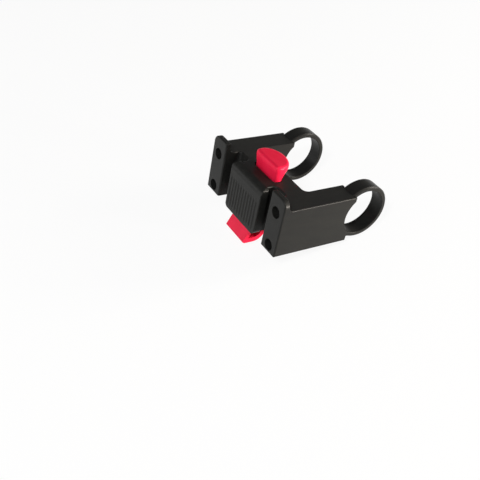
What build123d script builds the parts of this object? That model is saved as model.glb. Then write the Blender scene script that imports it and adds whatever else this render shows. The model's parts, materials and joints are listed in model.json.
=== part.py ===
from build123d import *

import os
from math import hypot

# Frame: X runs along the handlebar, -Y is the bag side, +Z is up.
# The origin is on the handlebar axis, midway between the two clamps.

# Least flat beside a radius, and the overshoot of a cut
LAND = 0.2
PAST = 1.0

# Handlebar clamp
BAR_D = 31.8
BAR_R = BAR_D / 2
LOOP_WALL = 3.1
LOOP_R = BAR_R + LOOP_WALL
LOOP_WIDTH = 10.8
LOOP_RIM_C = 0.8
LOOP_BORE_C = 0.3
LEG_H = 6.4
LEG_FRONT_Y = -36.0
LEG_BORE_DEPTH = 16.0
SLIDE_GAP = 0.3
TAKE_UP = 2.0

# Arms
STEM_GAP = 55.0
ARM_W = 15.3
ARM_H = 33.2
BAR_OFFSET = 1.9
ARM_X = (STEM_GAP + ARM_W) / 2
ARM_OUT_X = STEM_GAP / 2 + ARM_W
ARM_IN_X = STEM_GAP / 2
ARM_MID_Z = -BAR_OFFSET
ARM_TOP = ARM_MID_Z + ARM_H / 2
ARM_BOTTOM = ARM_MID_Z - ARM_H / 2
ARM_END_Y = -10.9
ARM_EDGE_R = 0.7

# Front flanges
FRONT_Y = -66.5
FLANGE_T = 3.8
FLANGE_RISE = 6.6
FLANGE_TOP = ARM_TOP + FLANGE_RISE
FLANGE_CORNER_R = 5.0
FLANGE_EDGE_R = 1.0
FLANGE_INNER_R = FLANGE_EDGE_R + LAND
FLANGE_BACK_R = 0.6
FLANGE_FOOT_R = 2.0
ARM_ROOT_Y = FRONT_Y + FLANGE_T / 2

# Clamp screws
SCREW_INSET = 4.6
SCREW_PITCH = ARM_H - 2 * SCREW_INSET
SCREW_D = 4.0
SCREW_LENGTH = 30.0
SCREW_TIP_C = 0.5
HEAD_D = 7.0
HEAD_H = 4.0
HEAD_EDGE_R = 0.4
HEX_AF = 3.0
HEX_DEPTH = 2.2
SCREW_HOLE_D = 4.4
SCREW_RUN_GAP = 0.05
RECESS_D = 7.8
RECESS_DEPTH = 12.0
SEAT_Y = FRONT_Y + RECESS_DEPTH

# Web between the arms
WEB_FRONT_Y = -54.5
WEB_REAR_Y = -40.8
WEB_FRONT_R = 2.6
WEB_REAR_R = 4.0
WEB_EDGE_R = 0.9

# Docking block: a cap with a rounded crown, on a narrower neck
BLOCK_HALF_W = 18.1
BLOCK_DROP = 1.2
BLOCK_FOOT_Z = ARM_BOTTOM - BLOCK_DROP
BLOCK_H = ARM_TOP - BLOCK_FOOT_Z
BLOCK_WALL = 3.3
BLOCK_CROWN_R = 5.2
BLOCK_CORNER_R = 4.5
BLOCK_SHOULDER_R = 2.6
BLOCK_FOOT_R = 0.8
BLOCK_EDGE_R = 0.7
CAP_REAR_Y = FRONT_Y + BLOCK_CROWN_R + LAND
NECK_HALF_W = 15.8
NECK_FOOT_R = 3.4
RIB_PITCH = 3.0
RIB_COUNT = 11
RIB_R = 1.3
RIB_DEPTH = 0.4
RIB_RUN_OUT = 2.5
RIB_TOP_Z = 3.5
RIB_FOOT_Z = BLOCK_FOOT_Z + 5.0

# Pivot
PIVOT_Y = -46.5
PIVOT_Z = 9.5
PIN_D = 3.0
PIN_END_C = 0.3
PIN_RUN_GAP = 0.05
KNUCKLE_R = 3.2
KNUCKLE_GAP = 0.3

# Return spring
SPRING_R = 2.7
SPRING_WIRE_D = 0.8
SPRING_TURNS = 5.5
SPRING_SIDES = 6
SPRING_SEAT_GAP = 0.02

# Release lever
LEVER_HALF_W = 12.4
HOOK_HALF_W = 10.9
BUTTON_HALF_W = 13.0
BUTTON_FRONT_Y = -54.2
BUTTON_SIDE_Y = -49.8
BUTTON_REAR_Y = -39.7
BUTTON_TOP_Z = 25.3
BUTTON_LIP_H = 3.4
BUTTON_TOP_R = 2.0
BUTTON_CORNER_R = 3.2
BUTTON_NECK_Z = 15.2
BUTTON_FOOT_Z = PIVOT_Z + KNUCKLE_R - PAST
BUTTON_FOOT_FRONT_Y = -53.2
BUTTON_FOOT_REAR_Y = -44.9
BUTTON_FOOT_HALF_W = 12.3
LEDGE_GAP = 2.0
LEDGE_MARGIN = 0.5
LEDGE_FRONT_Y = FRONT_Y + BLOCK_WALL + LEDGE_GAP
LEDGE_TOP_Z = 9.6
LEDGE_BOTTOM_Z = 6.8
STEM_T = 3.4
STEM_FRONT_Y = LEDGE_FRONT_Y + 2 * SPRING_R + SPRING_WIRE_D + 2 * LEDGE_MARGIN
STEM_REAR_Y = STEM_FRONT_Y + STEM_T
STEM_BEND_Z = -9.6
TOE_Y = -61.8
TOE_Z = -18.4
HOOK_TIP_Y = -67.7
HOOK_TIP_Z = -30.0
HOOK_TIP_R = 0.5
HOOK_SOLE_Z = -30.8
HOOK_SOLE_FRONT_Y = -65.9
HOOK_SOLE_REAR_Y = -60.0
HOOK_HEEL_R = 9.0
HOOK_HEEL_SWEEP = 78.0
HOOK_T = 3.3
HOOK_RAMP_T = 2.1

# Hollow for the release lever
CAVITY_HALF_W = LEVER_HALF_W + 0.8
CAVITY_FRONT_Y = FRONT_Y + BLOCK_WALL
CAVITY_REAR_Y = PIVOT_Y + KNUCKLE_R + 0.5
CAVITY_ROOF_Z = PIVOT_Z + KNUCKLE_R + KNUCKLE_GAP
CAVITY_R = 1.5
SLOT_FRONT_GAP = 1.0
SLOT_SIDE_GAP = 0.5
SHELF_TOP_Z = -6.0
SHELF_T = 2.6
SHELF_REAR_Y = STEM_FRONT_Y - 0.7
SPIGOT_R = 1.9
SPIGOT_H = 2.4


def between(x0, x1, y0, y1, z0, z1):
    """Solid block between two corners."""
    size = (abs(x1 - x0), abs(y1 - y0), abs(z1 - z0))
    centre = ((x0 + x1) / 2, (y0 + y1) / 2, (z0 + z1) / 2)
    return Pos(*centre) * Box(*size)


def plan_patch(x0, x1, y0, y1):
    """Rectangle in plan between two corners."""
    return Pos((x0 + x1) / 2, (y0 + y1) / 2) * Rectangle(abs(x1 - x0), abs(y1 - y0))


def rod_x(radius, x0, x1, y, z):
    """Cylinder along X between two stations."""
    length = x1 - x0
    return Pos((x0 + x1) / 2, y, z) * Rot(0, 90, 0) * Cylinder(radius, length)


def rod_y(radius, y0, y1, x, z):
    """Cylinder along Y between two stations."""
    length = y1 - y0
    return Pos(x, (y0 + y1) / 2, z) * Rot(90, 0, 0) * Cylinder(radius, length)


def side_slab(face, half_width, centre_x=0.0):
    """Extrude a Y-Z profile evenly to both sides of a station on X."""
    return Pos(centre_x, 0, 0) * extrude(Plane.YZ * face, half_width, both=True)


def near(value, target, tolerance=0.01):
    """Whether two positions agree."""
    return abs(value - target) < tolerance


def screw_levels():
    """Heights of the upper and the lower screw of one arm."""
    return (ARM_MID_Z + SCREW_PITCH / 2, ARM_MID_Z - SCREW_PITCH / 2)


def frame_plan():
    """Plan outline of the arms, the web and the block's neck, with the moulded inner corners."""
    plan = plan_patch(-ARM_OUT_X, ARM_OUT_X, ARM_ROOT_Y, ARM_END_Y)
    plan = plan - plan_patch(-ARM_IN_X, ARM_IN_X, WEB_REAR_Y, ARM_END_Y + PAST)
    plan = plan - plan_patch(-ARM_IN_X, ARM_IN_X, ARM_ROOT_Y - PAST, CAP_REAR_Y)
    for side in (-1, 1):
        plan = plan - plan_patch(side * NECK_HALF_W, side * ARM_IN_X, ARM_ROOT_Y - PAST, WEB_FRONT_Y)
    for y, x, radius in (
        (WEB_REAR_Y, ARM_IN_X, WEB_REAR_R),
        (WEB_FRONT_Y, ARM_IN_X, WEB_FRONT_R),
        (WEB_FRONT_Y, NECK_HALF_W, NECK_FOOT_R),
    ):
        corners = [v for v in plan.vertices() if near(v.Y, y) and near(abs(v.X), x)]
        plan = fillet(corners, radius)
    return plan


def arms_and_web():
    """Arms, web and neck, with rounded outer edges and softened edges round the rail slots."""
    body = Pos(0, 0, ARM_BOTTOM) * extrude(frame_plan(), ARM_H)
    upper = [
        e for e in body.edges().filter_by(Axis.Y)
        if near(abs(e.center().X), ARM_OUT_X) and near(e.center().Z, ARM_TOP)
    ]
    body = fillet(upper, ARM_EDGE_R)
    slots = [
        e for e in body.edges()
        if near(e.center().Z, ARM_TOP)
        and e.center().Y < WEB_FRONT_Y + LAND
        and NECK_HALF_W - LAND < abs(e.center().X) < ARM_IN_X + LAND
    ]
    return fillet(slots, WEB_EDGE_R)


def flange_plate(side):
    """Raised front plate of one arm, rounded along its edges but for the foot."""
    face = Pos(side * ARM_X, (FLANGE_TOP + ARM_BOTTOM) / 2) * Rectangle(ARM_W, FLANGE_TOP - ARM_BOTTOM)
    for x, radius in ((ARM_OUT_X, FLANGE_CORNER_R), (ARM_IN_X, FLANGE_INNER_R)):
        top = [v for v in face.vertices() if near(v.Y, FLANGE_TOP) and near(abs(v.X), x)]
        face = fillet(top, radius)
    plate = Pos(0, FRONT_Y, 0) * extrude(Plane.XZ * face, -FLANGE_T)
    for y, radius in ((FRONT_Y, FLANGE_EDGE_R), (FRONT_Y + FLANGE_T, FLANGE_BACK_R)):
        rim = [e for e in plate.edges() if near(e.center().Y, y) and not near(e.center().Z, ARM_BOTTOM)]
        plate = fillet(rim, radius)
    return plate


def flange_foot(side):
    """Quarter-round fill where a flange's back meets the arm's top."""
    back = FRONT_Y + FLANGE_T
    x0 = side * ARM_X - ARM_W / 2
    x1 = side * ARM_X + ARM_W / 2
    axis_y = back + FLANGE_FOOT_R
    axis_z = ARM_TOP + FLANGE_FOOT_R
    corner = between(x0, x1, back - PAST, axis_y, ARM_TOP - PAST, axis_z)
    return corner - rod_x(FLANGE_FOOT_R, x0 - PAST, x1 + PAST, axis_y, axis_z)


def lower_edge_cut(side):
    """Sliver that rounds the lower outer edge of an arm and its flange in one sweep."""
    x = side * (ARM_OUT_X - ARM_EDGE_R)
    z = ARM_BOTTOM + ARM_EDGE_R
    y0 = FRONT_Y - PAST
    y1 = ARM_END_Y + PAST
    corner = between(x, side * (ARM_OUT_X + PAST), y0, y1, ARM_BOTTOM - PAST, z)
    return corner - rod_y(ARM_EDGE_R, y0 - PAST, y1 + PAST, x, z)


def dock_cap():
    """Front of the docking block: rounded crown, shoulders and lower corners."""
    depth = CAP_REAR_Y - FRONT_Y
    mid_z = (ARM_TOP + BLOCK_FOOT_Z) / 2
    profile = Pos((FRONT_Y + CAP_REAR_Y) / 2, mid_z) * Rectangle(depth, BLOCK_H)
    for z, radius in ((ARM_TOP, BLOCK_CROWN_R), (BLOCK_FOOT_Z, BLOCK_FOOT_R)):
        front = [v for v in profile.vertices() if near(v.X, FRONT_Y) and near(v.Y, z)]
        profile = fillet(front, radius)
    outline = Pos(0, mid_z) * Rectangle(2 * BLOCK_HALF_W, BLOCK_H)
    for z, radius in ((ARM_TOP, BLOCK_SHOULDER_R), (BLOCK_FOOT_Z, BLOCK_CORNER_R)):
        outline = fillet([v for v in outline.vertices() if near(v.Y, z)], radius)
    plan = plan_patch(-BLOCK_HALF_W, BLOCK_HALF_W, FRONT_Y, CAP_REAR_Y)
    plan = fillet([v for v in plan.vertices() if near(v.Y, FRONT_Y)], BLOCK_EDGE_R)
    cap = Pos(0, 0, BLOCK_FOOT_Z) * extrude(plan, BLOCK_H)
    cap = cap & Pos(0, FRONT_Y, 0) * extrude(Plane.XZ * outline, -depth)
    return cap & side_slab(profile, BLOCK_HALF_W)


def rib_grooves():
    """Shallow round grooves that leave the vertical ribs on the block's front, tapered out at both ends."""
    axis_y = FRONT_Y - RIB_R + RIB_DEPTH
    span = (RIB_COUNT - 1) * RIB_PITCH
    faded = RIB_R - RIB_DEPTH
    groove = Pos(0, axis_y, (RIB_TOP_Z + RIB_FOOT_Z) / 2) * Cylinder(RIB_R, RIB_TOP_Z - RIB_FOOT_Z)
    groove = groove + Pos(0, axis_y, RIB_TOP_Z + RIB_RUN_OUT / 2) * Cone(RIB_R, faded, RIB_RUN_OUT)
    groove = groove + Pos(0, axis_y, RIB_FOOT_Z - RIB_RUN_OUT / 2) * Cone(faded, RIB_R, RIB_RUN_OUT)
    return [Pos(-span / 2 + i * RIB_PITCH, 0, 0) * groove for i in range(RIB_COUNT)]


def lever_hollow():
    """Room for the lever: open at the foot, a close slot round the button on top."""
    room_plan = Pos(0, (CAVITY_FRONT_Y + CAVITY_REAR_Y) / 2) * RectangleRounded(
        2 * CAVITY_HALF_W, CAVITY_REAR_Y - CAVITY_FRONT_Y, CAVITY_R
    )
    room = Pos(0, 0, BLOCK_FOOT_Z - PAST) * extrude(room_plan, CAVITY_ROOF_Z - BLOCK_FOOT_Z + PAST)
    slot_plan = button_plan(
        BUTTON_FOOT_HALF_W + SLOT_SIDE_GAP,
        BUTTON_FOOT_FRONT_Y - SLOT_FRONT_GAP,
        BUTTON_FOOT_REAR_Y + SLOT_SIDE_GAP,
    )
    slot = Pos(0, 0, CAVITY_ROOF_Z - PAST) * extrude(slot_plan, ARM_TOP - CAVITY_ROOF_Z + 2 * PAST)
    return room + slot


def spring_shelf():
    """Shelf inside the block with the spigot that centres the spring."""
    shelf = between(
        -CAVITY_HALF_W - PAST, CAVITY_HALF_W + PAST,
        CAVITY_FRONT_Y - PAST, SHELF_REAR_Y,
        SHELF_TOP_Z - SHELF_T, SHELF_TOP_Z,
    )
    spigot = Pos(0, spring_axis_y(), SHELF_TOP_Z + SPIGOT_H / 2) * Cylinder(SPIGOT_R, SPIGOT_H)
    return shelf + spigot


def spring_axis_y():
    """Station of the spring's axis, midway under the lever's ledge."""
    return (LEDGE_FRONT_Y + STEM_FRONT_Y) / 2


def leg_zone(level, side, grow):
    """Room of one loop leg inside an arm, with the given clearance all round."""
    half_w = LOOP_WIDTH / 2 + grow
    half_h = LEG_H / 2 + grow
    x = side * ARM_X
    front = LEG_FRONT_Y - TAKE_UP
    return between(x - half_w, x + half_w, front, ARM_END_Y + PAST, level - half_h, level + half_h)


def loop_relief(level, side):
    """Cut at an arm's end where the ring of the loop rises past the leg."""
    half_w = LOOP_WIDTH / 2 + SLIDE_GAP
    x = side * ARM_X
    ring = rod_x(LOOP_R + SLIDE_GAP, x - half_w, x + half_w, 0, 0)
    inner = level - LEG_H / 2 - SLIDE_GAP if level > 0 else level + LEG_H / 2 + SLIDE_GAP
    outer = inner + 2 * ARM_H if level > 0 else inner - 2 * ARM_H
    zone = between(x - half_w, x + half_w, -2 * LOOP_R, 2 * LOOP_R, inner, outer)
    return ring & zone


def base_frame():
    """The black moulding: arms, flanges, web and docking block in one."""
    body = arms_and_web() + dock_cap()
    for side in (-1, 1):
        body = body + flange_plate(side) + flange_foot(side) - lower_edge_cut(side)
    for groove in rib_grooves():
        body = body - groove
    body = body - lever_hollow()
    body = body + spring_shelf()
    body = body - rod_x(BAR_R, -ARM_OUT_X - PAST, ARM_OUT_X + PAST, 0, 0)
    body = body - rod_x(PIN_D / 2, -NECK_HALF_W - PAST, NECK_HALF_W + PAST, PIVOT_Y, PIVOT_Z)
    for side in (-1, 1):
        for level in screw_levels():
            body = body - leg_zone(level, side, SLIDE_GAP)
            body = body - loop_relief(level, side)
            body = body - rod_y(RECESS_D / 2, FRONT_Y - PAST, SEAT_Y, side * ARM_X, level)
            body = body - rod_y(SCREW_HOLE_D / 2, SEAT_Y - PAST, LEG_FRONT_Y, side * ARM_X, level)
    return body


def clamp_loop(side):
    """Strap round the bar with two legs that are drawn into the arm."""
    upper, lower = screw_levels()
    ring = Circle(LOOP_R)
    for level in (upper, lower):
        ring = ring + Pos(LEG_FRONT_Y / 2, level) * Rectangle(-LEG_FRONT_Y, LEG_H)
    throat_h = upper - lower - LEG_H
    throat = Pos(LEG_FRONT_Y / 2, ARM_MID_Z) * Rectangle(-LEG_FRONT_Y + PAST, throat_h)
    profile = ring - throat - Circle(BAR_R)
    body = side_slab(profile, LOOP_WIDTH / 2, side * ARM_X)
    for radius, size in ((LOOP_R, LOOP_RIM_C), (BAR_R, LOOP_BORE_C)):
        rims = [
            e for e in body.edges().filter_by(GeomType.CIRCLE)
            if near(e.radius, radius) and near(abs(e.center().X - side * ARM_X), LOOP_WIDTH / 2)
        ]
        body = chamfer(rims, size)
    bore_r = SCREW_D / 2 + SCREW_RUN_GAP
    for level in (upper, lower):
        end = LEG_FRONT_Y + LEG_BORE_DEPTH
        body = body - rod_y(bore_r, LEG_FRONT_Y - PAST, end, side * ARM_X, level)
    return body


def clamp_screw(side, level):
    """Socket-head screw that draws one loop leg forward."""
    half = SCREW_D / 2
    tip = SEAT_Y + SCREW_LENGTH
    outline = Polyline(
        (0, SEAT_Y - HEAD_H),
        (HEAD_D / 2 - HEAD_EDGE_R, SEAT_Y - HEAD_H),
        (HEAD_D / 2, SEAT_Y - HEAD_H + HEAD_EDGE_R),
        (HEAD_D / 2, SEAT_Y),
        (half, SEAT_Y),
        (half, tip - SCREW_TIP_C),
        (half - SCREW_TIP_C, tip),
        (0, tip),
        close=True,
    )
    body = revolve(make_face(outline), Axis.Y)
    hexagon = RegularPolygon(HEX_AF / 2, 6, major_radius=False)
    socket = Pos(0, SEAT_Y - HEAD_H, 0) * extrude(Plane.XZ * hexagon, -HEX_DEPTH)
    return Pos(side * ARM_X, 0, level) * (body - socket)


def button_plan(half_w, front, rear):
    """D-shaped plan of the button: straight front, full curve at the rear."""
    reach = rear - BUTTON_SIDE_Y
    curve = EllipticalCenterArc((0, BUTTON_SIDE_Y), half_w, reach, start_angle=0, arc_size=180)
    sides = Polyline((-half_w, BUTTON_SIDE_Y), (-half_w, front), (half_w, front), (half_w, BUTTON_SIDE_Y))
    face = make_face([curve, sides])
    corners = [v for v in face.vertices() if near(v.Y, front)]
    return fillet(corners, BUTTON_CORNER_R)


def button():
    """Thumb piece: an upright stem that flares to a lip reaching back over the web."""
    top = button_plan(BUTTON_HALF_W, BUTTON_FRONT_Y, BUTTON_REAR_Y)
    foot = button_plan(BUTTON_FOOT_HALF_W, BUTTON_FOOT_FRONT_Y, BUTTON_FOOT_REAR_Y)
    lip_z = BUTTON_TOP_Z - BUTTON_LIP_H
    cap = Pos(0, 0, lip_z) * extrude(top, BUTTON_LIP_H)
    rim = [e for e in cap.edges() if near(e.center().Z, BUTTON_TOP_Z)]
    cap = fillet(rim, BUTTON_TOP_R)
    flare = loft([Pos(0, 0, BUTTON_NECK_Z) * foot, Pos(0, 0, lip_z) * top])
    stem = Pos(0, 0, BUTTON_FOOT_Z) * extrude(foot, BUTTON_NECK_Z - BUTTON_FOOT_Z)
    return cap + flare + stem


def lever_spine():
    """Stem with the ledge for the spring, from the button to the hook's toe."""
    outline = Polyline(
        (STEM_FRONT_Y, PIVOT_Z + KNUCKLE_R),
        (STEM_FRONT_Y, LEDGE_TOP_Z),
        (LEDGE_FRONT_Y, LEDGE_TOP_Z),
        (LEDGE_FRONT_Y, LEDGE_BOTTOM_Z),
        (STEM_FRONT_Y, LEDGE_BOTTOM_Z),
        (STEM_FRONT_Y, STEM_BEND_Z),
        (TOE_Y, TOE_Z),
        (TOE_Y + HOOK_T, TOE_Z),
        (STEM_REAR_Y, STEM_BEND_Z),
        (STEM_REAR_Y, PIVOT_Z - KNUCKLE_R),
        (PIVOT_Y, PIVOT_Z - KNUCKLE_R),
        (PIVOT_Y, PIVOT_Z + KNUCKLE_R),
        close=True,
    )
    return side_slab(make_face(outline), HOOK_HALF_W)


def hook():
    """Sprung catch: a ramp down to the tip, a sole and a heel that curls up."""
    ramp = hypot(HOOK_TIP_Y - TOE_Y, HOOK_TIP_Z - TOE_Z)
    inner_toe = (TOE_Y + HOOK_RAMP_T * (TOE_Z - HOOK_TIP_Z) / ramp, TOE_Z)
    inner_tip = (HOOK_SOLE_FRONT_Y + HOOK_RAMP_T, HOOK_SOLE_Z + HOOK_T)
    curl = (HOOK_SOLE_REAR_Y, HOOK_SOLE_Z + HOOK_HEEL_R)
    heel_out = CenterArc(curl, HOOK_HEEL_R, -90, HOOK_HEEL_SWEEP)
    heel_in = CenterArc(curl, HOOK_HEEL_R - HOOK_T, -90, HOOK_HEEL_SWEEP)
    outside = Polyline(
        (TOE_Y, TOE_Z), (HOOK_TIP_Y, HOOK_TIP_Z), (HOOK_SOLE_FRONT_Y, HOOK_SOLE_Z), heel_out @ 0,
    )
    end = Line(heel_out @ 1, heel_in @ 1)
    inside = Polyline(heel_in @ 0, inner_tip, inner_toe, (TOE_Y, TOE_Z))
    face = make_face([outside, heel_out, end, heel_in, inside])
    tip = [v for v in face.vertices() if near(v.X, HOOK_TIP_Y)]
    return side_slab(fillet(tip, HOOK_TIP_R), HOOK_HALF_W)


def release_lever():
    """Red lever: button, knuckle on the pivot pin, stem and hook in one moulding."""
    body = button() + lever_spine() + hook()
    body = body + rod_x(KNUCKLE_R, -LEVER_HALF_W, LEVER_HALF_W, PIVOT_Y, PIVOT_Z)
    bore_half = LEVER_HALF_W + PAST
    return body - rod_x(PIN_D / 2 + PIN_RUN_GAP, -bore_half, bore_half, PIVOT_Y, PIVOT_Z)


def lever_pivot_pin():
    """Steel pin through both walls of the block."""
    pin = rod_x(PIN_D / 2, -NECK_HALF_W, NECK_HALF_W, PIVOT_Y, PIVOT_Z)
    return chamfer(pin.edges().filter_by(GeomType.CIRCLE), PIN_END_C)


def lever_spring():
    """Compression spring that lifts the ledge and so holds the hook forward."""
    wire_r = SPRING_WIRE_D / 2
    low = SHELF_TOP_Z + SPRING_SEAT_GAP + wire_r
    high = LEDGE_BOTTOM_Z - SPRING_SEAT_GAP - wire_r
    height = high - low
    path = Pos(0, spring_axis_y(), low) * Helix(height / SPRING_TURNS, height, SPRING_R)
    start = Plane(path @ 0, z_dir=path % 0)
    return sweep(start * RegularPolygon(wire_r, SPRING_SIDES), path, is_frenet=True)


def main():
    """Build every node and write one STEP file each."""
    os.makedirs("parts", exist_ok=True)
    nodes = {
        "base_frame": base_frame(),
        "release_lever": release_lever(),
        "lever_pivot_pin": lever_pivot_pin(),
        "lever_spring": lever_spring(),
    }
    for name, side in (("left", -1), ("right", 1)):
        nodes[f"clamp_loop_{name}"] = clamp_loop(side)
        for place, level in zip(("upper", "lower"), screw_levels()):
            nodes[f"clamp_screw_{name}_{place}"] = clamp_screw(side, level)
    for name, shape in nodes.items():
        export_step(shape, f"parts/{name}.step")
        print(name, len(shape.solids()), round(shape.volume, 1))


main()
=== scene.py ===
"""Bicycle handlebar bag mount, dressed for the render round its CAD frame."""

from __future__ import annotations

import json
import logging
import math
from dataclasses import dataclass
from enum import Enum

import bmesh
import bpy
from mathutils import Matrix, Vector

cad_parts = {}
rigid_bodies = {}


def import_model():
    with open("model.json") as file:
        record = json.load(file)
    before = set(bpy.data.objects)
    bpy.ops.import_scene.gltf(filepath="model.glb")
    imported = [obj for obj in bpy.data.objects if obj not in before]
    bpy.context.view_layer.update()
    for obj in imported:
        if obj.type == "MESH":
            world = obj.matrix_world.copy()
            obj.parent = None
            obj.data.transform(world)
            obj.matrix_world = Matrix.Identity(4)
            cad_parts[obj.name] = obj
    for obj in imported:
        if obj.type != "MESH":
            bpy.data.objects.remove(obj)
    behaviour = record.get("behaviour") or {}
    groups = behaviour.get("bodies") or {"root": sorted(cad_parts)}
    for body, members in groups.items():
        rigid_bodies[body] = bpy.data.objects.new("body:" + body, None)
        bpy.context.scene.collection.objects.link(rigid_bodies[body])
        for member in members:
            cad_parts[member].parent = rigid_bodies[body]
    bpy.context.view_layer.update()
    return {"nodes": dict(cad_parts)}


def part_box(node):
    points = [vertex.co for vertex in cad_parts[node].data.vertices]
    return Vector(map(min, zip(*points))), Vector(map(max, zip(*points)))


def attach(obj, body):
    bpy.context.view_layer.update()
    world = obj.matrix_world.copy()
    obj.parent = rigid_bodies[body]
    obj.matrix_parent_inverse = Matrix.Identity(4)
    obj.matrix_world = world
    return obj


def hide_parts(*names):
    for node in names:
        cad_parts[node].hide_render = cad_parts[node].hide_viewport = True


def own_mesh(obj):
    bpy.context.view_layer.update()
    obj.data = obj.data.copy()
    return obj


LOG = logging.getLogger("handlebar_bag_mount")
MM = 0.001
# Middle of a noise's range, which is stretched over the values that it sets.
NOISE_MIDDLE = {"From Min": 0.3, "From Max": 0.7}
STREAK_DETAIL = 4.0
LINE_DETAIL = 3.0
LINE_STRENGTH = 0.4
# The Mix node's colour sockets by number, because its other sockets share their names.
MIX_FIRST, MIX_SECOND, MIX_RESULT = 6, 7, 2


def linear(hex_colour: str) -> tuple[float, float, float, float]:
    """Turn an sRGB hex colour into a linear RGBA value.

    Args:
        hex_colour: Colour such as "2b2b2a".

    Returns:
        Linear red, green, blue and an alpha of 1.
    """
    parts = [int(hex_colour[i:i + 2], 16) / 255 for i in (0, 2, 4)]
    low = [c / 12.92 if c <= 0.04045 else ((c + 0.055) / 1.055) ** 2.4 for c in parts]
    return (low[0], low[1], low[2], 1.0)


def per_metre(size_mm: float) -> float:
    """Noise scale, in cycles a metre, of a pattern whose grains are size_mm wide."""
    return 1.0 / (size_mm * MM)


def add_node(
    tree: bpy.types.NodeTree,
    kind: str,
    links: dict[str | int, object] | None = None,
    **settings: object,
) -> bpy.types.Node:
    """Add one shader node with its settings and incoming links.

    Args:
        tree: Node tree of the material or world.
        kind: Blender's node type name.
        links: Input name or index to an output socket, or to a plain value.
        settings: Attributes of the node.

    Returns:
        The new node.
    """
    node = tree.nodes.new(kind)
    for name, value in settings.items():
        setattr(node, name, value)
    for key, value in (links or {}).items():
        if isinstance(value, bpy.types.NodeSocket):
            tree.links.new(value, node.inputs[key])
        else:
            node.inputs[key].default_value = value
    return node


def new_tree(owner: bpy.types.Material | bpy.types.World) -> bpy.types.NodeTree:
    """Switch an owner's nodes on and empty its tree.

    Args:
        owner: Material or world.

    Returns:
        Its empty node tree.
    """
    owner.use_nodes = True
    owner.node_tree.nodes.clear()
    return owner.node_tree


class MouldFace(Enum):
    """How a mould's face was finished: detail and roughness of the grain that it leaves."""

    SPARK_ERODED = (3.0, 0.65)
    POLISHED = (1.0, 0.40)


@dataclass(frozen=True)
class MouldedFinish:
    """A moulded plastic: body colour, gloss, flow streaks and the grain of its mould."""

    name: str
    colour: str
    pale: str
    roughness: tuple[float, float]
    ior: float
    specular: float
    grain_mm: float
    grain_depth_mm: float
    streak_mm: tuple[float, float, float]
    face: MouldFace

    def material(self) -> bpy.types.Material:
        """Make the node material.

        Returns:
            The material, coloured and roughened by object-space noise.
        """
        mat = bpy.data.materials.new(self.name)
        tree = new_tree(mat)
        place = add_node(tree, "ShaderNodeTexCoord").outputs["Object"]
        scale = tuple(per_metre(size) for size in self.streak_mm)
        along = add_node(tree, "ShaderNodeMapping", {"Vector": place, "Scale": scale}).outputs["Vector"]
        links = {"Vector": along, "Scale": 1.0, "Detail": STREAK_DETAIL}
        streak = add_node(tree, "ShaderNodeTexNoise", links).outputs["Fac"]
        detail, rough = self.face.value
        fine = per_metre(self.grain_mm)
        links = {"Vector": place, "Scale": fine, "Detail": detail, "Roughness": rough}
        grain = add_node(tree, "ShaderNodeTexNoise", links).outputs["Fac"]
        links = {"Height": grain, "Strength": 1.0, "Distance": self.grain_depth_mm * MM}
        bump = add_node(tree, "ShaderNodeBump", links).outputs["Normal"]
        share = add_node(tree, "ShaderNodeMapRange", {"Value": streak, **NOISE_MIDDLE}).outputs["Result"]
        links = {"Factor": share, MIX_FIRST: linear(self.colour), MIX_SECOND: linear(self.pale)}
        colour = add_node(tree, "ShaderNodeMix", links, data_type="RGBA").outputs[MIX_RESULT]
        both = add_node(tree, "ShaderNodeMath", {0: streak, 1: grain}, operation="ADD").outputs[0]
        mean = add_node(tree, "ShaderNodeMath", {0: both, 1: 0.5}, operation="MULTIPLY").outputs[0]
        low, high = self.roughness
        links = {"Value": mean, **NOISE_MIDDLE, "To Min": low, "To Max": high}
        gloss = add_node(tree, "ShaderNodeMapRange", links).outputs["Result"]
        links = {
            "Base Color": colour,
            "Roughness": gloss,
            "IOR": self.ior,
            "Specular IOR Level": self.specular,
            "Normal": bump,
        }
        shader = add_node(tree, "ShaderNodeBsdfPrincipled", links)
        add_node(tree, "ShaderNodeOutputMaterial", {"Surface": shader.outputs["BSDF"]})
        return mat


@dataclass(frozen=True)
class SteelFinish:
    """A steel surface: colour, gloss and the drawing lines along one axis."""

    name: str
    colour: str
    worn: str
    metallic: float
    roughness: tuple[float, float]
    line_mm: tuple[float, float, float]
    line_depth_mm: float

    def material(self) -> bpy.types.Material:
        """Make the node material.

        Returns:
            The material, with its lines drawn out along the piece.
        """
        mat = bpy.data.materials.new(self.name)
        tree = new_tree(mat)
        place = add_node(tree, "ShaderNodeTexCoord").outputs["Object"]
        scale = tuple(per_metre(size) for size in self.line_mm)
        along = add_node(tree, "ShaderNodeMapping", {"Vector": place, "Scale": scale}).outputs["Vector"]
        links = {"Vector": along, "Scale": 1.0, "Detail": LINE_DETAIL}
        lines = add_node(tree, "ShaderNodeTexNoise", links).outputs["Fac"]
        links = {"Height": lines, "Strength": LINE_STRENGTH, "Distance": self.line_depth_mm * MM}
        bump = add_node(tree, "ShaderNodeBump", links).outputs["Normal"]
        links = {"Factor": lines, MIX_FIRST: linear(self.colour), MIX_SECOND: linear(self.worn)}
        colour = add_node(tree, "ShaderNodeMix", links, data_type="RGBA").outputs[MIX_RESULT]
        low, high = self.roughness
        links = {"Value": lines, **NOISE_MIDDLE, "To Min": low, "To Max": high}
        gloss = add_node(tree, "ShaderNodeMapRange", links).outputs["Result"]
        links = {"Base Color": colour, "Roughness": gloss, "Metallic": self.metallic, "Normal": bump}
        shader = add_node(tree, "ShaderNodeBsdfPrincipled", links)
        add_node(tree, "ShaderNodeOutputMaterial", {"Surface": shader.outputs["BSDF"]})
        return mat


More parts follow.
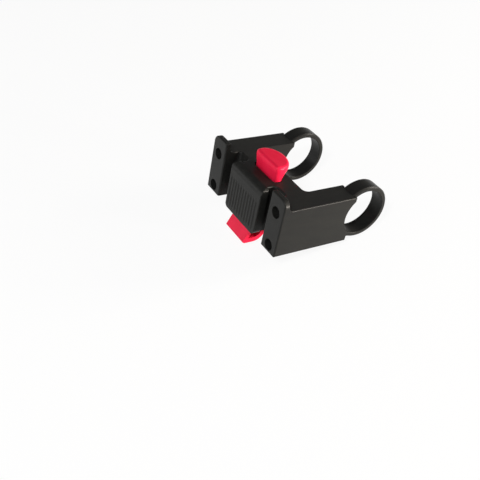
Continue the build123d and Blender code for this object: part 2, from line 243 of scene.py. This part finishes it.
# Glass-filled nylon from a spark-eroded mould: a dull black whose fine grain spreads the light
# into a soft sheen. Such a grain is too fine to show at this size, so it is drawn coarser.
BLACK_NYLON = MouldedFinish(
    name="glass_filled_nylon", colour="1c1c1b", pale="20201e",
    roughness=(0.35, 0.39), ior=1.53, specular=0.105,
    grain_mm=0.45, grain_depth_mm=0.03, streak_mm=(5.0, 22.0, 5.0), face=MouldFace.SPARK_ERODED,
)
# Acetal from a polished mould: a clear strong red with a waxy gloss and a faint waviness.
RED_ACETAL = MouldedFinish(
    name="red_acetal", colour="d01737", pale="d81f40",
    roughness=(0.28, 0.40), ior=1.48, specular=0.10,
    grain_mm=0.9, grain_depth_mm=0.008, streak_mm=(9.0, 9.0, 14.0), face=MouldFace.POLISHED,
)
# Ground and drawn steel: grey and bright, with lines along its length. Such lines are too fine
# to show at this size, so they are drawn coarser.
BRIGHT_STEEL = SteelFinish(
    name="drawn_steel", colour="8d8d8b", worn="b9b8b4", metallic=1.0, roughness=(0.24, 0.38),
    line_mm=(6.0, 0.3, 0.3), line_depth_mm=0.01,
)
# Black oxide on a cold-headed screw: near black, with a thin oily gloss and coarse-drawn lines.
BLACK_OXIDE = SteelFinish(
    name="black_oxide_steel", colour="161618", worn="242324", metallic=0.9, roughness=(0.32, 0.48),
    line_mm=(0.5, 4.0, 0.5), line_depth_mm=0.01,
)


class Dresser:
    """Gives CAD nodes their materials, one shared material to a finish."""

    def __init__(self, nodes: dict[str, bpy.types.Object]) -> None:
        """Keep the nodes of the frame."""
        self.nodes = nodes
        self.made: dict[str, bpy.types.Material] = {}

    def material(self, finish: MouldedFinish | SteelFinish) -> bpy.types.Material:
        """Fetch a finish's material, made on first use.

        Args:
            finish: The finish.

        Returns:
            Its material.
        """
        if finish.name not in self.made:
            self.made[finish.name] = finish.material()
        return self.made[finish.name]

    def dress(self, node: str, finish: MouldedFinish | SteelFinish) -> None:
        """Put a finish on a CAD node.

        Args:
            node: Node name.
            finish: The finish.
        """
        mesh = self.nodes[node].data
        mesh.materials.clear()
        mesh.materials.append(self.material(finish))
        LOG.info("dressed %s in %s", node, finish.name)


@dataclass
class BaseMoulding:
    """The one-piece black body: arms, flanges, web and docking block."""

    node: str = "base_frame"

    def dress(self, dresser: Dresser) -> None:
        """Give the moulding its nylon finish."""
        dresser.dress(self.node, BLACK_NYLON)


@dataclass
class BarStraps:
    """The two straps round the bar and the screws that draw them in."""

    straps: tuple[str, ...] = ("clamp_loop_left", "clamp_loop_right")
    screws: tuple[str, ...] = (
        "clamp_screw_left_upper",
        "clamp_screw_left_lower",
        "clamp_screw_right_upper",
        "clamp_screw_right_lower",
    )

    def dress(self, dresser: Dresser) -> None:
        """Give straps and screws their finishes.

        Args:
            dresser: Keeper of nodes and materials.
        """
        for strap in self.straps:
            dresser.dress(strap, BLACK_NYLON)
        for screw in self.screws:
            dresser.dress(screw, BLACK_OXIDE)


@dataclass
class ReleaseLever:
    """The red lever, its pin and its coil spring, which is wound at its rest length only."""

    lever: str = "release_lever"
    pin: str = "lever_pivot_pin"
    spring_node: str = "lever_spring"
    joint: str = "release_press"
    wire_d_mm: float = 0.8
    turns: float = 5.5
    steps_a_turn: int = 28
    wire_sides: int = 12
    keep: float = 0.894

    def build_spring(self, low: Vector, high: Vector) -> bpy.types.Object:
        """Wind the coil in round wire where its CAD node stands.

        Args:
            low: Lower corner of the CAD node.
            high: Upper corner of the CAD node.

        Returns:
            The coil's object.
        """
        centre = (low + high) / 2
        wire_r = self.wire_d_mm / 2 * MM
        radius = (high.x - low.x) / 2 - wire_r
        rise = (high.z - low.z) - 2 * wire_r
        steps = round(self.turns * self.steps_a_turn)
        bm = bmesh.new()
        ring = bmesh.ops.create_circle(bm, cap_ends=False, radius=wire_r, segments=self.wire_sides)
        turn = Matrix.Rotation(math.radians(90), 4, "X")
        place = Matrix.Translation(Vector((centre.x + radius, centre.y, low.z + wire_r)))
        bmesh.ops.transform(bm, matrix=place @ turn, verts=ring["verts"])
        first = list(bm.edges)
        wound = bmesh.ops.spin(
            bm, geom=first, cent=(centre.x, centre.y, 0), axis=(0, 0, 1), dvec=(0, 0, rise / steps),
            angle=2 * math.pi * self.turns, steps=steps, use_merge=False,
        )
        last = [e for e in wound["geom_last"] if isinstance(e, bmesh.types.BMEdge)]
        bmesh.ops.edgenet_fill(bm, edges=first)
        bmesh.ops.edgenet_fill(bm, edges=last)
        bmesh.ops.recalc_face_normals(bm, faces=bm.faces)
        # The wire's four-sided faces are smooth, and its two cut ends stay flat.
        for face in bm.faces:
            face.smooth = len(face.verts) == 4
        mesh = bpy.data.meshes.new("return_spring_coil")
        bm.to_mesh(mesh)
        bm.free()
        coil = bpy.data.objects.new("return_spring_coil", mesh)
        bpy.context.scene.collection.objects.link(coil)
        return coil

    def build(self, dresser: Dresser) -> None:
        """Dress the lever and its pin, and stand the coil in for its node.

        Args:
            dresser: Keeper of nodes and materials.
        """
        dresser.dress(self.lever, RED_ACETAL)
        dresser.dress(self.pin, BRIGHT_STEEL)
        low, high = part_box(self.spring_node)
        coil = self.build_spring(low, high)
        coil.data.materials.append(dresser.material(BRIGHT_STEEL))
        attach(coil, "base")
        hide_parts(self.spring_node)
        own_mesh(coil)
        LOG.info("built %s", coil.name)


@dataclass(frozen=True)
class SoftBox:
    """A square studio lamp, aimed at the part, with its place and size in metres."""

    name: str
    place: tuple[float, float, float]
    size: float
    watts: float
    tint: str

    def build(self, aim: Vector) -> None:
        """Hang the lamp.

        Args:
            aim: Point that the lamp faces.
        """
        data = bpy.data.lights.new(self.name, "AREA")
        data.shape = "SQUARE"
        data.size = self.size
        data.energy = self.watts
        data.color = linear(self.tint)[:3]
        lamp = bpy.data.objects.new(self.name, data)
        lamp.location = self.place
        lamp.rotation_euler = (aim - Vector(self.place)).to_track_quat("-Z", "Y").to_euler()
        bpy.context.scene.collection.objects.link(lamp)


@dataclass
class Studio:
    """Camera, table and lights of the photograph.

    The wall's top is where its white starts and ends its fade to the ceiling, as heights of the
    view's unit direction. The aim is the point, in metres, that every lamp faces.
    """

    camera_mm: tuple[float, float, float] = (291.8, -283.9, 228.8)
    forward: tuple[float, float, float] = (-0.6441, 0.4905, -0.5870)
    up: tuple[float, float, float] = (-0.5779, 0.1908, 0.7935)
    focal_px: float = 676.8
    frame_px: float = 480.0
    sensor_mm: float = 36.0
    clip_start_m: float = 0.01
    lie_deg: float = 11.0
    table_m: float = 8.0
    table_gap_mm: float = 2.2
    table_colour: str = "f4f4f2"
    table_glow: float = 0.9
    glow_colour: str = "ffffff"
    wall_colour: str = "ffffff"
    ceiling_colour: str = "7a7a7a"
    wall_top: tuple[float, float] = (0.10, 0.22)
    aim: tuple[float, float, float] = (0.0, -0.035, -0.005)
    lamps: tuple[SoftBox, ...] = (
        SoftBox("rim_right", (0.75, 0.50, 0.135), 0.10, 16.0, "fff4ea"),
        SoftBox("edge_back", (0.34, 0.74, 0.48), 0.30, 6.6, "fff8f0"),
        SoftBox("key_front", (0.40, -0.69, 0.62), 0.10, 4.6, "fafcff"),
        SoftBox("low_front", (-0.10, -0.90, -0.05), 0.25, 1.7, "ffffff"),
        SoftBox("fill_left", (-0.60, -0.70, 0.10), 0.30, 0.6, "ffffff"),
    )

    def build_camera(self) -> None:
        """Set the camera at the photograph's place and field of view."""
        data = bpy.data.cameras.new("photo_camera")
        data.sensor_width = self.sensor_mm
        data.lens = self.sensor_mm * self.focal_px / self.frame_px
        data.clip_start = self.clip_start_m
        back = -Vector(self.forward).normalized()
        right = Vector(self.up).cross(back).normalized()
        up = back.cross(right)
        camera = bpy.data.objects.new("photo_camera", data)
        turn = Matrix((right, up, back)).transposed().to_4x4()
        camera.matrix_world = Matrix.Translation(Vector(self.camera_mm) * MM) @ turn
        bpy.context.scene.collection.objects.link(camera)
        bpy.context.scene.camera = camera

    def build_table(self, nodes: dict[str, bpy.types.Object]) -> None:
        """Lay the pale table under the part, with a gap for the hook and the straps as they move.

        Args:
            nodes: CAD nodes, whose lowest point sets the table's height.
        """
        lean = math.radians(self.lie_deg)
        normal = Vector((0, -math.sin(lean), math.cos(lean)))
        lowest = min(normal.dot(v.co) for node in nodes.values() for v in node.data.vertices)
        bm = bmesh.new()
        bmesh.ops.create_grid(bm, x_segments=2, y_segments=2, size=self.table_m / 2)
        turn = Matrix.Rotation(lean, 4, "X")
        place = Matrix.Translation(normal * (lowest - self.table_gap_mm * MM))
        bmesh.ops.transform(bm, matrix=place @ turn, verts=bm.verts)
        mesh = bpy.data.meshes.new("table_top")
        bm.to_mesh(mesh)
        bm.free()
        table = bpy.data.objects.new("table_top", mesh)
        bpy.context.scene.collection.objects.link(table)
        mesh.materials.append(self.table_material())

    def table_material(self) -> bpy.types.Material:
        """White card: bright to the eye and in reflections, with the part's soft shadow kept.

        Returns:
            The material.
        """
        mat = bpy.data.materials.new("white_card")
        tree = new_tree(mat)
        path = add_node(tree, "ShaderNodeLightPath").outputs
        card = add_node(tree, "ShaderNodeBsdfDiffuse", {"Color": linear(self.table_colour)})
        links = {"Color": linear(self.glow_colour), "Strength": 1.0}
        glow = add_node(tree, "ShaderNodeEmission", links)
        seen = path["Is Camera Ray"]
        for ray in ("Is Glossy Ray", "Is Transmission Ray"):
            links = {0: seen, 1: path[ray]}
            seen = add_node(tree, "ShaderNodeMath", links, operation="MAXIMUM").outputs[0]
        links = {0: seen, 1: self.table_glow}
        share = add_node(tree, "ShaderNodeMath", links, operation="MULTIPLY").outputs[0]
        links = {0: share, 1: card.outputs["BSDF"], 2: glow.outputs["Emission"]}
        mix = add_node(tree, "ShaderNodeMixShader", links)
        add_node(tree, "ShaderNodeOutputMaterial", {"Surface": mix.outputs["Shader"]})
        return mat

    def build_room(self) -> None:
        """Light the room evenly: white walls up to a dim ceiling."""
        world = bpy.data.worlds.new("studio_room")
        tree = new_tree(world)
        way = add_node(tree, "ShaderNodeTexCoord").outputs["Generated"]
        height = add_node(tree, "ShaderNodeSeparateXYZ", {0: way}).outputs["Z"]
        low, high = self.wall_top
        links = {"Value": height, "From Min": low, "From Max": high}
        rise = add_node(tree, "ShaderNodeMapRange", links, interpolation_type="SMOOTHSTEP")
        links = {
            "Factor": rise.outputs["Result"],
            MIX_FIRST: linear(self.wall_colour),
            MIX_SECOND: linear(self.ceiling_colour),
        }
        colour = add_node(tree, "ShaderNodeMix", links, data_type="RGBA").outputs[MIX_RESULT]
        room = add_node(tree, "ShaderNodeBackground", {"Color": colour, "Strength": 1.0})
        add_node(tree, "ShaderNodeOutputWorld", {"Surface": room.outputs["Background"]})
        bpy.context.scene.world = world

    def build(self, nodes: dict[str, bpy.types.Object]) -> None:
        """Build camera, table, room and lamps.

        Args:
            nodes: CAD nodes, which the table lies under.
        """
        self.build_camera()
        self.build_table(nodes)
        self.build_room()
        for lamp in self.lamps:
            lamp.build(Vector(self.aim))
        bpy.context.scene.view_settings.view_transform = "Standard"
        LOG.info("built the studio with %d lamps", len(self.lamps))


def clear_start_scene() -> None:
    """Remove the objects of Blender's start-up file."""
    for obj in list(bpy.data.objects):
        bpy.data.objects.remove(obj)


def main() -> None:
    """Load the frame, dress it and set up the studio."""
    logging.basicConfig(level=logging.INFO, format="%(message)s")
    clear_start_scene()
    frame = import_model()
    dresser = Dresser(frame["nodes"])
    BaseMoulding().dress(dresser)
    BarStraps().dress(dresser)
    ReleaseLever().build(dresser)
    Studio().build(frame["nodes"])


if __name__ == "__main__":
    main()
